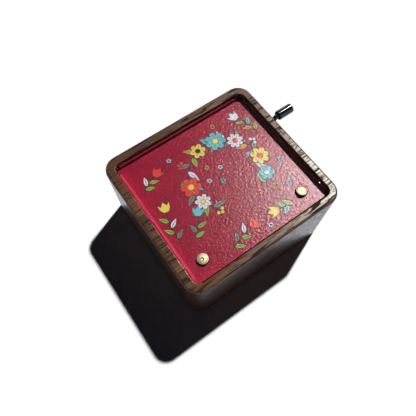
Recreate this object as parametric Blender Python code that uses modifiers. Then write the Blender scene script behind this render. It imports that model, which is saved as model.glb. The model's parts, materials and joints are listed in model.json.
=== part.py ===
"""Hand-cranked music box: a walnut case, a print under clear acrylic on top, and an 18-note movement inside.

Units are metres and +Z is up. The origin is the centre of the underside, +X is the crank's side and
-Y is the front. The movement hangs upside down from the case's top plate, by two brass studs.
"""

import math

import bmesh
import bpy
from mathutils import Matrix

# Clearances
SEAT = 0.0002
EDGE_GAP = 0.0002
RUNNING = 0.00015
SIDE_PLAY = 0.0003
SCREW_GAP = 0.00012

# How far united shapes bite into each other, how far a cutter runs past a face, and the ease on metal edges
BITE = 0.0004
OVER = 0.002
METAL_EASE = 0.0002

# Walnut case, hollowed from one block
CASE_WIDTH = 0.065
CASE_DEPTH = 0.0606
CASE_HEIGHT = 0.034
CASE_CORNER = 0.0056
CASE_EASE = 0.0009
RIM_LEFT = 0.0034
RIM_RIGHT = 0.003
RIM_FRONT = 0.003
RIM_BACK = 0.0036
RIM_LIP = 0.0009
RIM_EASE = 0.0003
RECESS_CORNER = 0.0026
TOP_PLATE = 0.003
CAVITY_WALL = 0.005
CAVITY_CORNER = 0.005

# Bottom cover and its wood screws
COVER_THICK = 0.0025
COVER_WALL = 0.0023
COVER_SCREW_INSET = 0.0051
COVER_SCREW_HEAD = 0.0036
COVER_SCREW_SHANK = 0.0018
COVER_SCREW_LENGTH = 0.0095
COVER_SCREW_SINK = 0.0001

# Print and acrylic sheet
PRINT_THICK = 0.0004
ACRYLIC_THICK = 0.003
ACRYLIC_EASE = 0.0002
ACRYLIC_GAP = 0.0005

# Brass studs that hold the print, the top plate and the movement together
STUD_SPACING = 0.0437
STUD_FROM_FRONT = 0.0102
STUD_HEAD = 0.0043
STUD_HEAD_THICK = 0.0014
STUD_HEAD_EASE = 0.0004
STUD_CROWN = 0.0001
STUD_DIMPLE = 0.0011
STUD_SHANK = 0.0024
STUD_END = 0.0006
WELL_GAP = 0.0002
NUT_ACROSS = 0.0048
NUT_THICK = 0.0019

# Cast frame
BED_THICK = 0.0024
LUG_RADIUS = 0.0032
CHEEK_THICK = 0.002
CHEEK_ROOT = 0.012
CHEEK_EYE = 0.003
POST_THICK = 0.0026
POST_ROOT = 0.0076
POST_EYE = 0.0026
BED_MARGIN = 0.001
BED_CORNER = 0.0015
PAD_MARGIN = 0.0006
PAD_CORNER = 0.001
WINDOW_MARGIN = 0.0015

# Drum
DRUM_RADIUS = 0.0065
DRUM_WALL = 0.0008
PIN_HEIGHT = 0.0006
PIN_RADIUS = 0.0002
DRUM_TO_BED = 0.0039
DRUM_END = 0.0003
CAP_FLANGE = 0.0008
CAP_INSET = 0.0004
CAP_PLUG = 0.0016
ARBOR_RADIUS = 0.001
ARBOR_PROUD = 0.0006
COLLAR_RADIUS = 0.0019
COLLAR_THICK = 0.0008

# Comb
NOTES = 18
NOTE_PITCH = 0.00105
TOOTH_GAP = 0.00022
COMB_THICK = 0.0016
TIP_THICK = 0.0005
TIP_CLEAR = 0.00015
TOOTH_LONG = 0.0165
TOOTH_SHORT = 0.0105
HEEL_DEPTH = 0.0085
BASS_NOTES = 6
WEIGHT_LENGTH = 0.0034
WEIGHT_DROP = 0.0011
WEIGHT_SETBACK = 0.0016
COMB_SCREW_SPACING = 0.011
COMB_SCREW_HEAD = 0.0036
COMB_SCREW_SHANK = 0.0019
COMB_SCREW_DEPTH = 0.0055
SCREW_HEAD_THICK = 0.0011
SCREW_SLOT = 0.0005

# Worm and wheel, with tooth heights above and below the pitch line as shares of the module
WHEEL_TEETH = 20
MODULE = 0.00052
TOOTH_ABOVE = 0.85
TOOTH_BELOW = 1.15
FLANK_ANGLE = math.radians(20)
WORM_RADIUS = 0.002
BACKLASH = 0.00022
WHEEL_FACE = 0.003
HUB_STEP = 0.0016
HUB_FLANGE = 0.001
HUB_BOSS = 0.0008
HUB_BOSS_RADIUS = 0.0025
WORM_LENGTH = 0.008

# Crank and knob
CRANK_Y = 0.0105
WIRE_RADIUS = 0.001
WIRE_TAIL = 0.0004
BEND_RADIUS = 0.0015
ARM_THROW = 0.0114
ARM_STANDOFF = 0.0016
KNOB_RADIUS = 0.0019
KNOB_LENGTH = 0.0069
KNOB_ROUND = 0.0006
KNOB_CAP = 0.0013
WALL_HOLE = 0.0044

# Heights
RECESS_FLOOR = CASE_HEIGHT - RIM_LIP - ACRYLIC_THICK - PRINT_THICK - 2 * SEAT
CARD_TOP = RECESS_FLOOR + SEAT + PRINT_THICK
ACRYLIC_TOP = CASE_HEIGHT - RIM_LIP
CEILING = RECESS_FLOOR - TOP_PLATE
BED_TOP = CEILING - SEAT
BED_UNDER = BED_TOP - BED_THICK
PIN_TIP = DRUM_RADIUS + PIN_HEIGHT
DRUM_Z = BED_UNDER - DRUM_TO_BED - PIN_TIP
WHEEL_RADIUS = MODULE * WHEEL_TEETH / 2
WHEEL_ROOT = WHEEL_RADIUS - TOOTH_BELOW * MODULE
CRANK_Z = DRUM_Z + WHEEL_RADIUS + WORM_RADIUS

# Places across the movement
LEAD = math.pi * MODULE
STUD_X = STUD_SPACING / 2
STUD_Y = -CASE_DEPTH / 2 + STUD_FROM_FRONT
COMB_BACK_X = -STUD_X - LUG_RADIUS + PAD_MARGIN
COMB_LENGTH = HEEL_DEPTH + TOOTH_LONG
COMB_TIP_X = COMB_BACK_X + COMB_LENGTH
DRUM_X = COMB_TIP_X + TIP_CLEAR + PIN_TIP
DRUM_LENGTH = NOTES * NOTE_PITCH + 2 * DRUM_END
DRUM_BACK_Y = CRANK_Y - WHEEL_FACE / 2 - HUB_STEP
DRUM_FRONT_Y = DRUM_BACK_Y - DRUM_LENGTH
COMB_Y = (DRUM_BACK_Y + DRUM_FRONT_Y) / 2
COMB_WIDTH = NOTES * NOTE_PITCH - TOOTH_GAP
FRONT_CHEEK_Y = DRUM_FRONT_Y - CAP_FLANGE - SIDE_PLAY
BACK_CHEEK_Y = CRANK_Y + WHEEL_FACE / 2 + HUB_BOSS + SIDE_PLAY
POST_X = WORM_LENGTH / 2 + SIDE_PLAY
ARM_X = CASE_WIDTH / 2 + ARM_STANDOFF
KNOB_X = ARM_X + BEND_RADIUS + RUNNING
COMB_TOP = DRUM_Z + TIP_THICK / 2

WALNUT = ("walnut", (0.13, 0.065, 0.04), 0.38, 0.0)
PLYWOOD = ("cover_plywood", (0.24, 0.14, 0.08), 0.6, 0.0)
PRINTED = ("printed_card", (0.3, 0.02, 0.05), 0.55, 0.0)
ACRYLIC = ("clear_acrylic", (0.9, 0.9, 0.92), 0.03, 0.0)
BRASS = ("polished_brass", (0.83, 0.68, 0.36), 0.22, 1.0)
DRUM_BRASS = ("drum_brass", (0.72, 0.56, 0.28), 0.32, 1.0)
ZINC = ("cast_zinc", (0.45, 0.46, 0.48), 0.45, 0.9)
SPRING_STEEL = ("spring_steel", (0.5, 0.52, 0.55), 0.28, 1.0)
SCREW_STEEL = ("screw_steel", (0.42, 0.43, 0.45), 0.3, 1.0)
BLACK_WIRE = ("blackened_wire", (0.03, 0.03, 0.035), 0.3, 0.8)
BLACK_PLASTIC = ("black_plastic", (0.008, 0.008, 0.009), 0.18, 0.0)


def clear_scene():
    for obj in list(bpy.data.objects):
        bpy.data.objects.remove(obj, do_unlink=True)
    for name in ("music_box", "cutters"):
        bpy.context.scene.collection.children.link(bpy.data.collections.new(name))


def material(spec):
    name, colour, roughness, metallic = spec
    found = bpy.data.materials.get(name)
    if found:
        return found
    made = bpy.data.materials.new(name)
    made.use_nodes = True
    shader = made.node_tree.nodes["Principled BSDF"]
    shader.inputs["Base Color"].default_value = (*colour, 1.0)
    shader.inputs["Roughness"].default_value = roughness
    shader.inputs["Metallic"].default_value = metallic
    if spec is ACRYLIC:
        shader.inputs["Transmission Weight"].default_value = 1.0
    made.diffuse_color = (*colour, 1.0)
    return made


def add_object(name, data, spec=None):
    """A part of the music box, or a cutter when it has no material."""
    obj = bpy.data.objects.new(name, data)
    if spec:
        bpy.data.collections["music_box"].objects.link(obj)
        data.materials.append(material(spec))
        if obj.type == "MESH":
            data.shade_smooth()
            data.set_sharp_from_angle(angle=math.radians(35))
    else:
        bpy.data.collections["cutters"].objects.link(obj)
        obj.hide_render = True
        obj.display_type = "WIRE"
    return obj


def solid_mesh(name, curve):
    """The closed mesh of a curve, with its caps welded on."""
    guide = bpy.data.objects.new(name + "_guide", curve)
    bpy.context.scene.collection.objects.link(guide)
    bpy.context.view_layer.update()
    graph = bpy.context.evaluated_depsgraph_get()
    mesh = bpy.data.meshes.new_from_object(guide.evaluated_get(graph))
    bpy.data.objects.remove(guide, do_unlink=True)
    edit = bmesh.new()
    edit.from_mesh(mesh)
    bmesh.ops.remove_doubles(edit, verts=edit.verts, dist=1e-6)
    bmesh.ops.recalc_face_normals(edit, faces=edit.faces)
    edit.to_mesh(mesh)
    edit.free()
    mesh.name = name
    return mesh


def extruded(name, outline, thickness, ease=0.0, ease_steps=1):
    """A flat outline in XY, thickened about z = 0, with its edges rounded by ease."""
    curve = bpy.data.curves.new(name, "CURVE")
    curve.dimensions = "2D"
    curve.fill_mode = "BOTH"
    curve.extrude = thickness / 2 - ease
    if ease:
        curve.bevel_depth = ease
        curve.bevel_resolution = ease_steps
        curve.offset = -ease
    spline = curve.splines.new("POLY")
    spline.points.add(len(outline) - 1)
    for point, (x, y) in zip(spline.points, outline):
        point.co = (x, y, 0.0, 1.0)
    spline.use_cyclic_u = True
    return solid_mesh(name, curve)


def turned(name, profile, steps, spec=None, closed=False):
    """A profile of (radius, height) points, down its outer side, turned about Z."""
    mesh = bpy.data.meshes.new(name)
    count = len(profile)
    edges = [(i, i + 1) for i in range(count - 1)]
    if closed:
        edges.append((count - 1, 0))
    mesh.from_pydata([(r, 0.0, z) for r, z in profile], edges, [])
    obj = add_object(name, mesh, spec)
    screw = obj.modifiers.new("turn", "SCREW")
    screw.axis = "Z"
    screw.angle = math.tau
    screw.steps = steps
    screw.render_steps = steps
    screw.use_merge_vertices = True
    screw.merge_threshold = 0.00001
    screw.use_smooth_shade = True
    return obj


def rod(name, radius, z_low, z_high, steps=24, spec=None):
    return turned(name, [(0, z_high), (radius, z_high), (radius, z_low), (0, z_low)], steps, spec)


def boolean(obj, other, operation="DIFFERENCE"):
    step = obj.modifiers.new(operation.lower(), "BOOLEAN")
    step.operation = operation
    step.solver = "EXACT"
    step.object = other


def arc(cx, cy, radius, start, end, steps):
    """Points on an arc, from one angle in degrees to another."""
    points = []
    for i in range(steps + 1):
        angle = math.radians(start + (end - start) * i / steps)
        points.append((cx + radius * math.cos(angle), cy + radius * math.sin(angle)))
    return points


def rounded_rectangle(x_low, x_high, y_low, y_high, radius, steps=8):
    points = []
    for cx, cy, start in (
        (x_high - radius, y_high - radius, 0),
        (x_low + radius, y_high - radius, 90),
        (x_low + radius, y_low + radius, 180),
        (x_high - radius, y_low + radius, 270),
    ):
        points += arc(cx, cy, radius, start, start + 90, steps)
    return points


def centred_rectangle(width, depth, radius, steps=8):
    return rounded_rectangle(-width / 2, width / 2, -depth / 2, depth / 2, radius, steps)


def eye_strap(root_width, height, eye, steps=10):
    """An outline that hangs from y = 0, narrowing to a round eye about (0, -height)."""
    tilt = math.degrees(math.atan2(root_width / 2 - eye, height))
    points = arc(0, -height, eye, 360 - tilt, 180 + tilt, 2 * steps)
    return [(root_width / 2, 0)] + points + [(-root_width / 2, 0)]


def slab_between(name, outline, z_low, z_high, spec=None, ease=0.0, ease_steps=1):
    obj = add_object(name, extruded(name, outline, z_high - z_low, ease, ease_steps), spec)
    obj.location.z = (z_low + z_high) / 2
    return obj


def lofted(name, rings):
    """A closed solid through rings of (outline, height), listed upwards, with as many points in each."""
    edit = bmesh.new()
    loops = [[edit.verts.new((x, y, z)) for x, y in outline] for outline, z in rings]
    for lower, upper in zip(loops, loops[1:]):
        for i in range(len(lower)):
            edit.faces.new((lower[i - 1], lower[i], upper[i], upper[i - 1]))
    edit.faces.new(reversed(loops[0]))
    edit.faces.new(loops[-1])
    mesh = bpy.data.meshes.new(name)
    edit.to_mesh(mesh)
    edit.free()
    return mesh


def bored(obj, name, radius, x, y, z_low, z_high, steps=24):
    """Cuts an upright hole through obj."""
    cutter = rod(name, radius, z_low, z_high, steps)
    cutter.location.x = x
    cutter.location.y = y
    boolean(obj, cutter)


def stud_places():
    return (("left", -STUD_X), ("right", STUD_X))


def cover_screw_places():
    x = CASE_WIDTH / 2 - COVER_SCREW_INSET
    y = CASE_DEPTH / 2 - COVER_SCREW_INSET
    return (
        ("front_left", -x, -y),
        ("front_right", x, -y),
        ("back_left", -x, y),
        ("back_right", x, y),
    )


# Walnut case

def make_case():
    outline = centred_rectangle(CASE_WIDTH, CASE_DEPTH, CASE_CORNER, 8)
    case = slab_between("walnut_case", outline, 0, CASE_HEIGHT, WALNUT, CASE_EASE, 2)
    boolean(case, make_recess_cutter())
    cavity = centred_rectangle(CASE_WIDTH - 2 * CAVITY_WALL, CASE_DEPTH - 2 * CAVITY_WALL, CAVITY_CORNER, 6)
    boolean(case, slab_between("cavity_cut", cavity, -OVER, CEILING))
    boolean(case, slab_between("cover_rebate_cut", cover_outline(0.0), -OVER, COVER_THICK + SEAT))
    for side, x in stud_places():
        bored(case, f"stud_hole_{side}", STUD_SHANK / 2 + RUNNING, x, STUD_Y, CEILING - OVER, CASE_HEIGHT)
    pilot = COVER_SCREW_SHANK / 2 + SCREW_GAP
    for corner, x, y in cover_screw_places():
        bored(case, f"pilot_{corner}", pilot, x, y, 0, COVER_SCREW_LENGTH + 2 * SEAT, 12)
    hole = rod("crank_hole", WALL_HOLE / 2, -OVER, CAVITY_WALL + OVER, 28)
    hole.rotation_euler.y = math.radians(90)
    hole.location = (CASE_WIDTH / 2 - CAVITY_WALL, CRANK_Y, CRANK_Z)
    boolean(case, hole)


def make_recess_cutter():
    """The recess for the print and the sheet, flared at its mouth by the ease on the rim's inner edge."""
    rings = [(recess_outline(0.0), RECESS_FLOOR)]
    for turn in (0, 45, 90):
        flare = RIM_EASE * (1 - math.cos(math.radians(turn)))
        rise = RIM_EASE * (1 - math.sin(math.radians(turn)))
        rings.append((recess_outline(flare), CASE_HEIGHT - rise))
    rings.append((recess_outline(RIM_EASE), CASE_HEIGHT + OVER))
    return add_object("recess_cut", lofted("recess_cut", rings))


def recess_outline(offset):
    """The recess's outline, moved outwards by offset, or inwards when it is negative."""
    return rounded_rectangle(
        RIM_LEFT - CASE_WIDTH / 2 - offset,
        CASE_WIDTH / 2 - RIM_RIGHT + offset,
        RIM_FRONT - CASE_DEPTH / 2 - offset,
        CASE_DEPTH / 2 - RIM_BACK + offset,
        RECESS_CORNER + offset,
    )


def cover_outline(gap):
    """The cover's opening, or the cover itself when it keeps a gap to it."""
    inset = COVER_WALL + gap
    return centred_rectangle(CASE_WIDTH - 2 * inset, CASE_DEPTH - 2 * inset, CASE_CORNER - inset)


def make_cover():
    cover = slab_between("bottom_cover", cover_outline(EDGE_GAP), 0, COVER_THICK, PLYWOOD)
    head = COVER_SCREW_HEAD / 2 + SCREW_GAP
    shank = COVER_SCREW_SHANK / 2 + SCREW_GAP
    above = COVER_THICK + OVER
    profile = [(0, above), (shank, above), (shank, head - shank), (head, 0), (head, -OVER), (0, -OVER)]
    for corner, x, y in cover_screw_places():
        cutter = turned(f"countersink_{corner}", profile, 20)
        cutter.location.x = x
        cutter.location.y = y
        boolean(cover, cutter)


def make_cover_screws():
    head = COVER_SCREW_HEAD / 2
    shank = COVER_SCREW_SHANK / 2
    face = COVER_SCREW_SINK
    point = COVER_SCREW_LENGTH
    profile = [(0, point), (shank, point - 2 * shank), (shank, head - shank + face), (head, face), (0, face)]
    for corner, x, y in cover_screw_places():
        screw = turned(f"cover_screw_{corner}", profile, 20, SCREW_STEEL)
        screw.location.x = x
        screw.location.y = y
        cut_slot(screw, f"slot_{corner}", COVER_SCREW_HEAD, face)


def cut_slot(screw, name, head, face_z):
    """A straight slot across a screw head whose flat face is at face_z, as deep as it is wide."""
    half_length = head / 2 + OVER
    half_width = SCREW_SLOT / 2
    outline = [(half_length, half_width), (-half_length, half_width)]
    outline += [(-half_length, -half_width), (half_length, -half_width)]
    slot = add_object(name, extruded(name, outline, 2 * SCREW_SLOT))
    slot.parent = screw
    slot.location.z = face_z
    boolean(screw, slot)


# Print and acrylic sheet

def make_panel():
    """The card, clamped by the studs' heads, and the clear sheet, with a well round each head."""
    card = slab_between("printed_card", recess_outline(-EDGE_GAP), CARD_TOP - PRINT_THICK, CARD_TOP, PRINTED)
    sheet_low = ACRYLIC_TOP - ACRYLIC_THICK
    sheet = slab_between(
        "acrylic_sheet", recess_outline(-ACRYLIC_GAP), sheet_low, ACRYLIC_TOP, ACRYLIC, ACRYLIC_EASE
    )
    hole = STUD_SHANK / 2 + RUNNING
    well = STUD_HEAD / 2 + WELL_GAP
    for side, x in stud_places():
        bored(card, f"card_hole_{side}", hole, x, STUD_Y, RECESS_FLOOR - OVER, CASE_HEIGHT)
        bored(sheet, f"sheet_well_{side}", well, x, STUD_Y, RECESS_FLOOR, CASE_HEIGHT + OVER, 32)


def make_studs():
    """A turned head, slightly crowned, with a rounded edge and a centre dimple, on a plain shank."""
    radius = STUD_HEAD / 2
    under = CARD_TOP + SEAT
    crown = under + STUD_HEAD_THICK
    shoulder = crown - STUD_CROWN
    dimple = STUD_DIMPLE / 2
    profile = [(0, crown - dimple / 2), (dimple * 0.7, crown - dimple / 3), (dimple, crown)]
    profile += arc(radius - STUD_HEAD_EASE, shoulder - STUD_HEAD_EASE, STUD_HEAD_EASE, 90, 0, 5)
    shank = STUD_SHANK / 2
    end = BED_UNDER - SEAT - NUT_THICK - STUD_END
    profile += [(radius, under + METAL_EASE), (radius - METAL_EASE, under), (shank, under)]
    profile += [(shank, end + METAL_EASE), (shank - METAL_EASE, end), (0, end)]
    for side, x in stud_places():
        stud = turned(f"brass_stud_{side}", profile, 32, BRASS)
        stud.location.x = x
        stud.location.y = STUD_Y


def make_nuts():
    top = BED_UNDER - SEAT
    outline = arc(0, 0, NUT_ACROSS / math.sqrt(3), 0, 300, 5)
    for side, x in stud_places():
        nut = slab_between(f"stud_nut_{side}", outline, top - NUT_THICK, top, SCREW_STEEL)
        nut.location.x = x
        nut.location.y = STUD_Y
        hole = rod(f"nut_bore_{side}", STUD_SHANK / 2 + SCREW_GAP, -NUT_THICK, NUT_THICK, 24)
        hole.parent = nut
        boolean(nut, hole)


# Cast frame

def strap(name, outline, thickness, rotation, location):
    """An outline in XY, thickened and stood upright as a wall of the frame."""
    wall = add_object(name, extruded(name, outline, thickness))
    wall.rotation_euler = rotation
    wall.location = location
    return wall


def make_frame():
    """The bar with the studs' lugs, the bed, and what hangs from it: the comb's pad and the four bearings."""
    reach = STUD_X + LUG_RADIUS
    bar = rounded_rectangle(-reach, reach, STUD_Y - LUG_RADIUS, STUD_Y + LUG_RADIUS, LUG_RADIUS * 0.98)
    frame = slab_between("movement_frame", bar, BED_UNDER, BED_TOP, ZINC)
    bed_right = DRUM_X + POST_X + POST_THICK + BED_MARGIN
    bed_back = BACK_CHEEK_Y + CHEEK_THICK + BED_MARGIN
    bed = rounded_rectangle(COMB_BACK_X, bed_right, STUD_Y, bed_back, BED_CORNER, 4)
    boolean(frame, slab_between("bed_plate", bed, BED_UNDER, BED_TOP), "UNION")
    comb_sides = (COMB_Y - COMB_WIDTH / 2, COMB_Y + COMB_WIDTH / 2)
    pad = rounded_rectangle(COMB_BACK_X + METAL_EASE, COMB_BACK_X + HEEL_DEPTH, *comb_sides, PAD_CORNER, 3)
    boolean(frame, slab_between("comb_pad", pad, COMB_TOP + SEAT, BED_UNDER + BITE), "UNION")
    add_cheeks(frame)
    add_posts(frame)
    window = rounded_rectangle(
        COMB_BACK_X + HEEL_DEPTH + WINDOW_MARGIN,
        DRUM_X - DRUM_RADIUS / 2,
        comb_sides[0] + WINDOW_MARGIN,
        comb_sides[1] - 2 * WINDOW_MARGIN,
        PAD_CORNER,
        3,
    )
    boolean(frame, slab_between("bed_window", window, BED_UNDER - BITE, BED_TOP + BITE))
    clear = STUD_SHANK / 2 + SCREW_GAP
    for side, x in stud_places():
        bored(frame, f"lug_hole_{side}", clear, x, STUD_Y, BED_UNDER - BITE, BED_TOP + BITE)
    tapped = COMB_SCREW_SHANK / 2 + SCREW_GAP
    bottom = COMB_TOP + SEAT + COMB_SCREW_DEPTH
    for end, y in comb_screw_places():
        x = COMB_BACK_X + HEEL_DEPTH / 2
        bored(frame, f"tapped_hole_{end}", tapped, x, y, COMB_TOP - BITE, bottom, 20)


def add_cheeks(frame):
    """The two bearings of the drum's arbor."""
    root = BED_UNDER + BITE
    outline = eye_strap(CHEEK_ROOT, root - DRUM_Z, CHEEK_EYE)
    upright = (math.radians(90), 0, 0)
    middle = CHEEK_THICK / 2
    for name, y in (("cheek_front", FRONT_CHEEK_Y - middle), ("cheek_back", BACK_CHEEK_Y + middle)):
        boolean(frame, strap(name, outline, CHEEK_THICK, upright, (DRUM_X, y, root)), "UNION")
    reach = CHEEK_THICK + OVER
    bore = rod("arbor_bore", ARBOR_RADIUS + RUNNING, FRONT_CHEEK_Y - reach, BACK_CHEEK_Y + reach, 24)
    on_drum_axis(bore, 0)
    boolean(frame, bore)


def add_posts(frame):
    """The two bearings of the crank's wire, one on each side of the worm."""
    root = BED_UNDER + BITE
    outline = eye_strap(POST_ROOT, root - CRANK_Z, POST_EYE)
    across = (math.radians(90), 0, math.radians(90))
    offset = POST_X + POST_THICK / 2
    for name, x in (("post_inner", DRUM_X - offset), ("post_outer", DRUM_X + offset)):
        boolean(frame, strap(name, outline, POST_THICK, across, (x, CRANK_Y, root)), "UNION")
    reach = POST_X + POST_THICK + BITE
    bore = rod("wire_bore", WIRE_RADIUS + RUNNING, -reach, reach, 24)
    on_crank_axis(bore, DRUM_X)
    boolean(frame, bore)


# Comb

def comb_screw_places():
    return (("front", COMB_Y - COMB_SCREW_SPACING / 2), ("back", COMB_Y + COMB_SCREW_SPACING / 2))


def note_y(note):
    """Where a tooth and its pins lie along the drum, the bass note at the front."""
    return (note - (NOTES - 1) / 2) * NOTE_PITCH


def tooth_length(note):
    return TOOTH_LONG + (TOOTH_SHORT - TOOTH_LONG) * note / (NOTES - 1)


def make_comb():
    """The comb is made about its tip line, with its teeth along +X and its top face at z = 0."""
    half = COMB_WIDTH / 2
    outline = [(0, half), (-COMB_LENGTH, half), (-COMB_LENGTH, -half), (0, -half)]
    comb = add_object("steel_comb", extruded("steel_comb", outline, COMB_THICK), SPRING_STEEL)
    for vertex in comb.data.vertices:
        vertex.co.z -= COMB_THICK / 2
    comb.location = (COMB_TIP_X, COMB_Y, COMB_TOP)
    low = -COMB_THICK - OVER
    root = -tooth_length(0)
    relief = [(OVER, -TIP_THICK), (root, -2 * TIP_THICK), (root, low), (OVER, low)]
    wedge = add_object("comb_relief", extruded("comb_relief", relief, 2 * COMB_WIDTH))
    wedge.rotation_euler.x = math.radians(90)
    wedge.parent = comb
    boolean(comb, wedge)
    for note in range(BASS_NOTES):
        weight = tooth_weight(note)
        weight.parent = comb
        boolean(comb, weight, "UNION")
    for note in range(NOTES - 1):
        name = f"slot_{note}"
        slot = add_object(name, extruded(name, slot_outline(note), 2 * (COMB_THICK + OVER)))
        slot.parent = comb
        boolean(comb, slot)
    for end, y in comb_screw_places():
        hole = rod(f"comb_hole_{end}", COMB_SCREW_SHANK / 2 + RUNNING, low, OVER, 20)
        hole.parent = comb
        hole.location = (HEEL_DEPTH / 2 - COMB_LENGTH, y - COMB_Y, 0)
        boolean(comb, hole)


def slot_outline(note):
    """A saw cut with a round end, between this tooth and the next."""
    y = note_y(note) + NOTE_PITCH / 2
    radius = TOOTH_GAP / 2
    length = (tooth_length(note) + tooth_length(note + 1)) / 2
    return [(OVER, y + radius)] + arc(radius - length, y, radius, 90, 270, 4) + [(OVER, y - radius)]


def tooth_weight(note):
    """A lead weight under a bass tooth."""
    x = -WEIGHT_SETBACK
    y = note_y(note)
    half = (NOTE_PITCH - TOOTH_GAP) / 2
    outline = [(x, y + half), (x - WEIGHT_LENGTH, y + half), (x - WEIGHT_LENGTH, y - half), (x, y - half)]
    name = f"weight_{note}"
    return slab_between(name, outline, -TIP_THICK - WEIGHT_DROP, -TIP_THICK / 2)


def make_comb_screws():
    head = COMB_SCREW_HEAD / 2
    shank = COMB_SCREW_SHANK / 2
    face = COMB_TOP - COMB_THICK - SEAT
    low = face - SCREW_HEAD_THICK
    end = COMB_TOP + COMB_SCREW_DEPTH - SEAT
    profile = [(0, end), (shank - METAL_EASE, end), (shank, end - METAL_EASE), (shank, face), (head, face)]
    profile += [(head, low + METAL_EASE), (head - METAL_EASE, low), (0, low)]
    for place, y in comb_screw_places():
        screw = turned(f"comb_screw_{place}", profile, 24, SCREW_STEEL)
        screw.location = (COMB_BACK_X + HEEL_DEPTH / 2, y, 0)
        cut_slot(screw, f"comb_slot_{place}", COMB_SCREW_HEAD, low)


# Drum

def on_drum_axis(obj, y):
    """Lays a turned piece along the drum's axis, its own z = 0 at y."""
    obj.rotation_euler.x = math.radians(-90)
    obj.location = (DRUM_X, y, DRUM_Z)


def tune_pins():
    """(note, angle) of each pin: a rising and falling run, with a second voice under every other step."""
    steps = 36
    for step in range(steps):
        angle = math.tau * (step + 0.5) / steps
        yield (7 * step) % NOTES, angle
        if step % 2 == 0:
            yield (7 * step + NOTES // 2) % NOTES, angle


def make_drum():
    inner = DRUM_RADIUS - DRUM_WALL
    half = DRUM_LENGTH / 2
    eased = DRUM_RADIUS - METAL_EASE
    profile = [(inner, half), (eased, half), (DRUM_RADIUS, half - METAL_EASE)]
    profile += [(DRUM_RADIUS, METAL_EASE - half), (eased, -half), (inner, -half)]
    drum = turned("pinned_drum", profile, 56, DRUM_BRASS, closed=True)
    on_drum_axis(drum, COMB_Y)
    edit = bmesh.new()
    for note, angle in tune_pins():
        height = PIN_HEIGHT + DRUM_WALL / 2
        made = bmesh.ops.create_cone(
            edit,
            cap_ends=True,
            segments=6,
            radius1=PIN_RADIUS * 1.15,
            radius2=PIN_RADIUS * 0.85,
            depth=height,
        )
        out = Matrix.Translation((PIN_TIP - height / 2, 0, 0)) @ Matrix.Rotation(math.radians(90), 4, "Y")
        place = Matrix.Translation((0, 0, note_y(note))) @ Matrix.Rotation(angle, 4, "Z") @ out
        bmesh.ops.transform(edit, matrix=place, verts=made["verts"])
    mesh = bpy.data.meshes.new("drum_pins")
    edit.to_mesh(mesh)
    edit.free()
    pins = add_object("drum_pins", mesh)
    pins.parent = drum
    boolean(drum, pins, "UNION")


def make_drum_cap():
    plug = DRUM_RADIUS - DRUM_WALL - SCREW_GAP
    bore = ARBOR_RADIUS + SCREW_GAP
    flange = DRUM_RADIUS - CAP_INSET
    profile = [(bore, CAP_PLUG), (plug, CAP_PLUG), (plug, -SCREW_GAP), (flange, -SCREW_GAP)]
    profile += [(flange, -CAP_FLANGE), (bore, -CAP_FLANGE)]
    cap = turned("drum_cap", profile, 36, DRUM_BRASS, closed=True)
    on_drum_axis(cap, DRUM_FRONT_Y)


def wheel_outline():
    """The toothed outline, with a gap at the worm's side and straight flanks."""
    outer = WHEEL_RADIUS + TOOTH_ABOVE * MODULE
    pitch = math.tau / WHEEL_TEETH
    half = pitch / 4 - BACKLASH / 4 / WHEEL_RADIUS
    flank = math.tan(FLANK_ANGLE) * MODULE / WHEEL_RADIUS
    wide = half + TOOTH_BELOW * flank
    narrow = half - TOOTH_ABOVE * flank
    points = []
    for tooth in range(WHEEL_TEETH):
        centre = -math.pi / 2 + (tooth + 0.5) * pitch
        for radius, angle in ((WHEEL_ROOT, -wide), (outer, -narrow), (outer, narrow), (WHEEL_ROOT, wide)):
            points.append((radius * math.cos(centre + angle), radius * math.sin(centre + angle)))
    return points


def make_wheel():
    """The wheel, its hub boss, and the plug and flange that close the drum's end."""
    wheel = add_object("worm_wheel", extruded("worm_wheel", wheel_outline(), WHEEL_FACE), DRUM_BRASS)
    on_drum_axis(wheel, CRANK_Y)
    twist = wheel.modifiers.new("tooth_lead", "SIMPLE_DEFORM")
    twist.deform_method = "TWIST"
    twist.deform_axis = "Z"
    twist.angle = WHEEL_FACE * LEAD / (math.tau * WORM_RADIUS) / WHEEL_RADIUS
    half = WHEEL_FACE / 2
    top = half + HUB_BOSS
    flange_low = SCREW_GAP - half - HUB_STEP
    flange_top = flange_low + HUB_FLANGE - SCREW_GAP
    bottom = -half - HUB_STEP - CAP_PLUG
    neck = WHEEL_ROOT - BITE
    flange = DRUM_RADIUS - CAP_INSET
    plug = DRUM_RADIUS - DRUM_WALL - SCREW_GAP
    profile = [(0, top), (HUB_BOSS_RADIUS, top), (HUB_BOSS_RADIUS, 0), (neck, 0), (neck, flange_top)]
    profile += [(flange, flange_top), (flange, flange_low), (plug, flange_low), (plug, bottom), (0, bottom)]
    hub = turned("wheel_hub", profile, 36)
    hub.parent = wheel
    boolean(wheel, hub, "UNION")
    hole = rod("wheel_bore", ARBOR_RADIUS + SCREW_GAP, bottom - OVER, top + OVER, 24)
    hole.parent = wheel
    boolean(wheel, hole)


def make_arbor():
    past = CHEEK_THICK + SIDE_PLAY + COLLAR_THICK + ARBOR_PROUD
    low = FRONT_CHEEK_Y - past
    high = BACK_CHEEK_Y + past
    half = (high - low) / 2
    eased = ARBOR_RADIUS - METAL_EASE
    profile = [(0, half), (eased, half), (ARBOR_RADIUS, half - METAL_EASE)]
    profile += [(ARBOR_RADIUS, METAL_EASE - half), (eased, -half), (0, -half)]
    arbor = turned("drum_arbor", profile, 24, SCREW_STEEL)
    on_drum_axis(arbor, (low + high) / 2)


def collar(name, shaft_radius, spec):
    inner = shaft_radius + SCREW_GAP
    half = COLLAR_THICK / 2
    profile = [(inner, half), (COLLAR_RADIUS, half), (COLLAR_RADIUS, -half), (inner, -half)]
    return turned(name, profile, 24, spec, closed=True)


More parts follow.
